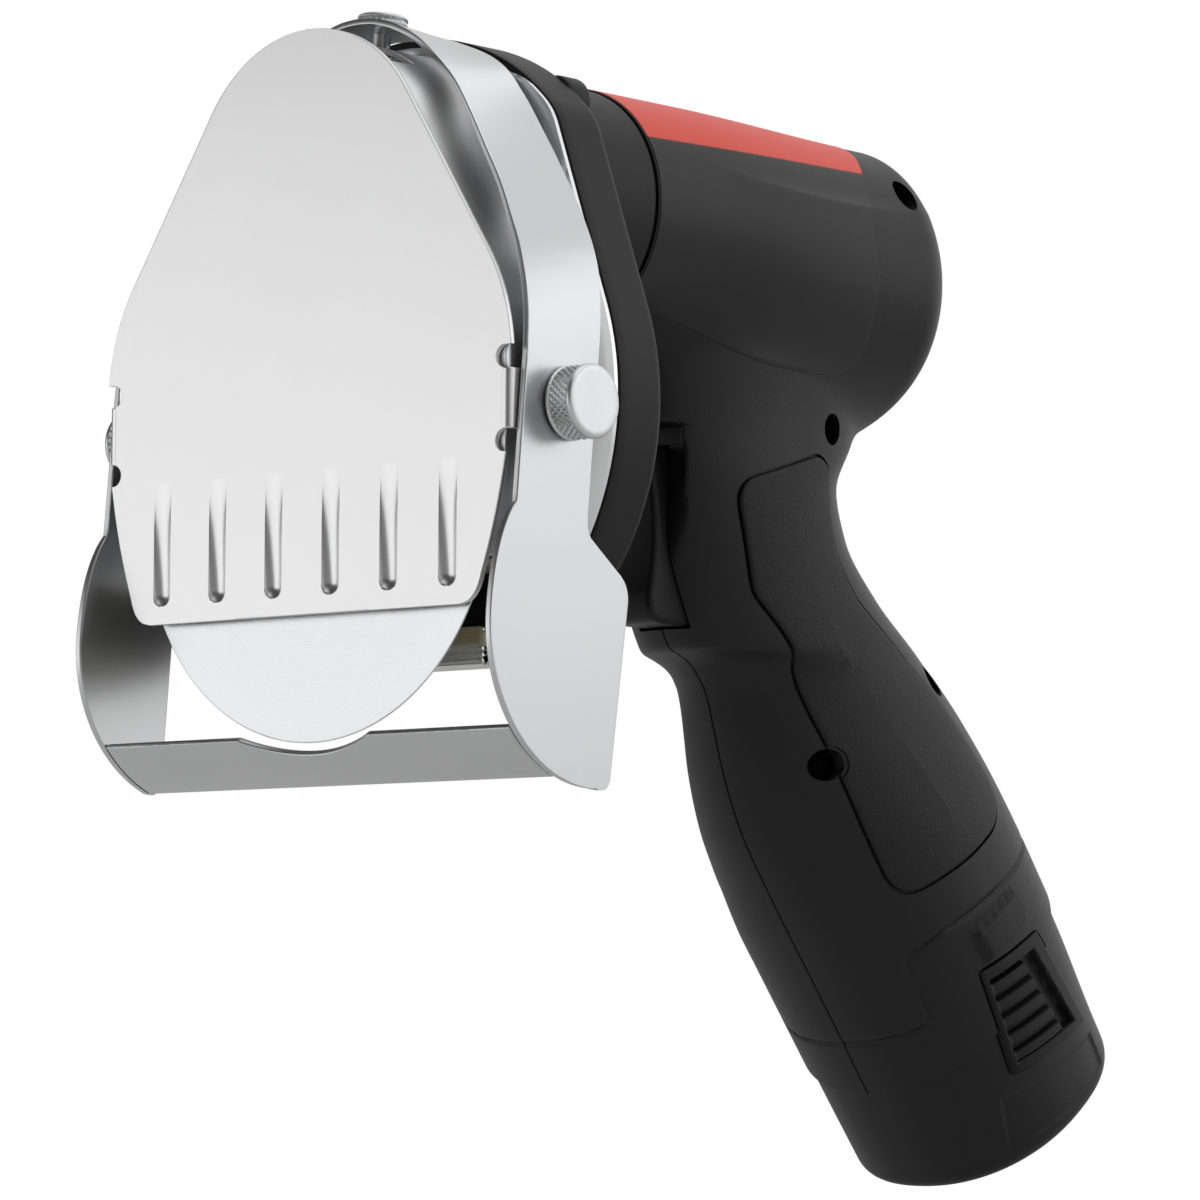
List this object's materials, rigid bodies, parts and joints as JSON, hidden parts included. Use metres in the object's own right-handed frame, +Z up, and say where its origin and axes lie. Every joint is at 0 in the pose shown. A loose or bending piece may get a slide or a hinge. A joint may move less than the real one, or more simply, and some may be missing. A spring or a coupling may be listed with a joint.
{
  "type": "electric kebab slicer",
  "caption": "Cordless kebab slicer with a round blade behind a grooved steel glide plate, a tilting thickness guide, a pistol grip with trigger and a slide-in battery.",
  "frame": {"origin": "on the blade's axis, on the flat front face of the glide plate", "axes": "+X to the right seen from the front, +Y back along the blade's axis towards the motor, +Z up"},
  "size_m": [0.1344, 0.2679, 0.2506],
  "materials": {
    "sheet_steel": "brushed",
    "blade_steel": "ground",
    "knob_steel": "knurled",
    "machine_steel": "turned",
    "brass": "machined",
    "winding": "varnished",
    "case_plastic": "fine grain",
    "shell_plastic": "fine grain",
    "grip_rubber": "coarse grain",
    "lens": "clear",
    "circuit_board": "lacquered",
    "cell": "sleeved",
    "nylon": "moulded"
  },
  "bodies": {
    "housing": {"glide_plate": "sheet_steel", "blade_hood": "sheet_steel", "gear_case": "case_plastic", "gear_cover": "case_plastic", "case_screw_1": "knob_steel", "case_screw_2": "knob_steel", "case_screw_3": "knob_steel", "case_screw_4": "knob_steel", "front_bearing": "knob_steel", "rear_bearing": "knob_steel", "idler_axle": "machine_steel", "shaft_bush": "brass", "lamp_lens": "lens", "lamp_board": "circuit_board", "pivot_nut_left": "knob_steel", "pivot_nut_right": "knob_steel", "motor_can": "machine_steel", "motor_end_cap": "case_plastic", "shell_left": "shell_plastic", "shell_right": "shell_plastic", "shell_screw_1": "machine_steel", "shell_screw_2": "machine_steel", "shell_screw_3": "machine_steel", "shell_screw_4": "machine_steel", "grip_inlay_left": "grip_rubber", "grip_inlay_right": "grip_rubber", "switch_body": "case_plastic", "terminal_block": "case_plastic"},
    "blade_drive": {"blade": "blade_steel", "blade_screw": "knob_steel", "spindle": "machine_steel", "spindle_gear": "machine_steel"},
    "idler": {"idler_gear": "nylon"},
    "motor_rotor": {"rotor": "winding", "motor_pinion": "brass"},
    "guide": {"guide_strap": "sheet_steel", "guide_bar": "sheet_steel", "top_nut": "knob_steel"},
    "top_thumbscrew": {"top_knob": "knob_steel"},
    "left_thumbscrew": {"side_knob_left": "knob_steel"},
    "right_thumbscrew": {"side_knob_right": "knob_steel"},
    "trigger_lever": {"trigger": "case_plastic"},
    "battery": {"battery_case": "shell_plastic", "battery_base": "shell_plastic", "cell_1": "cell", "cell_2": "cell", "cell_3": "cell", "cell_4": "cell", "battery_board": "circuit_board"},
    "left_latch": {"latch_left": "case_plastic"},
    "right_latch": {"latch_right": "case_plastic"}
  },
  "joints": [
    {"name": "blade_spin", "type": "hinge", "parent": "housing", "child": "blade_drive", "pos_m": [0, 0.02, 0], "axis": [0, 1, 0], "continuous": true},
    {"name": "idler_spin", "type": "hinge", "parent": "housing", "child": "idler", "pos_m": [0, 0.0363, 0.0415], "axis": [0, 1, 0], "continuous": true},
    {"name": "motor_spin", "type": "hinge", "parent": "housing", "child": "motor_rotor", "pos_m": [0, 0.09, 0.071], "axis": [0, 1, 0], "continuous": true},
    {"name": "guide_tilt", "type": "hinge", "parent": "housing", "child": "guide", "pos_m": [0, 0.0154, 0.0176], "axis": [1, 0, 0], "range_deg": [-1.5, 5.25]},
    {"name": "top_knob_turn", "type": "hinge", "parent": "guide", "child": "top_thumbscrew", "pos_m": [0, 0.02278, 0.10228], "axis": [0, 0.0915, 0.9958], "range_deg": [0, 360]},
    {"name": "left_knob_turn", "type": "hinge", "parent": "housing", "child": "left_thumbscrew", "pos_m": [-0.06, 0.0154, 0.0176], "axis": [-1, 0, 0], "range_deg": [0, 360]},
    {"name": "right_knob_turn", "type": "hinge", "parent": "housing", "child": "right_thumbscrew", "pos_m": [0.06, 0.0154, 0.0176], "axis": [1, 0, 0], "range_deg": [0, 360]},
    {"name": "trigger_pull", "type": "slide", "parent": "housing", "child": "trigger_lever", "axis": [0, 1, 0], "range_m": [0, 0.006], "stiffness_N_per_m": 500, "springref_m": -0.004},
    {"name": "battery_slide", "type": "slide", "parent": "housing", "child": "battery", "axis": [0, 0.6428, -0.766], "range_m": [0, 0.055]},
    {"name": "left_latch_press", "type": "slide", "parent": "battery", "child": "left_latch", "axis": [1, 0, 0], "range_m": [0, 0.002], "stiffness_N_per_m": 800, "springref_m": -0.002},
    {"name": "right_latch_press", "type": "slide", "parent": "battery", "child": "right_latch", "axis": [-1, 0, 0], "range_m": [0, 0.002], "stiffness_N_per_m": 800, "springref_m": -0.002}
  ],
  "couplings": [
    {"joint": "idler_spin", "follows": "blade_spin", "ratio": -0.76596},
    {"joint": "motor_spin", "follows": "blade_spin", "ratio": 3}
  ]
}
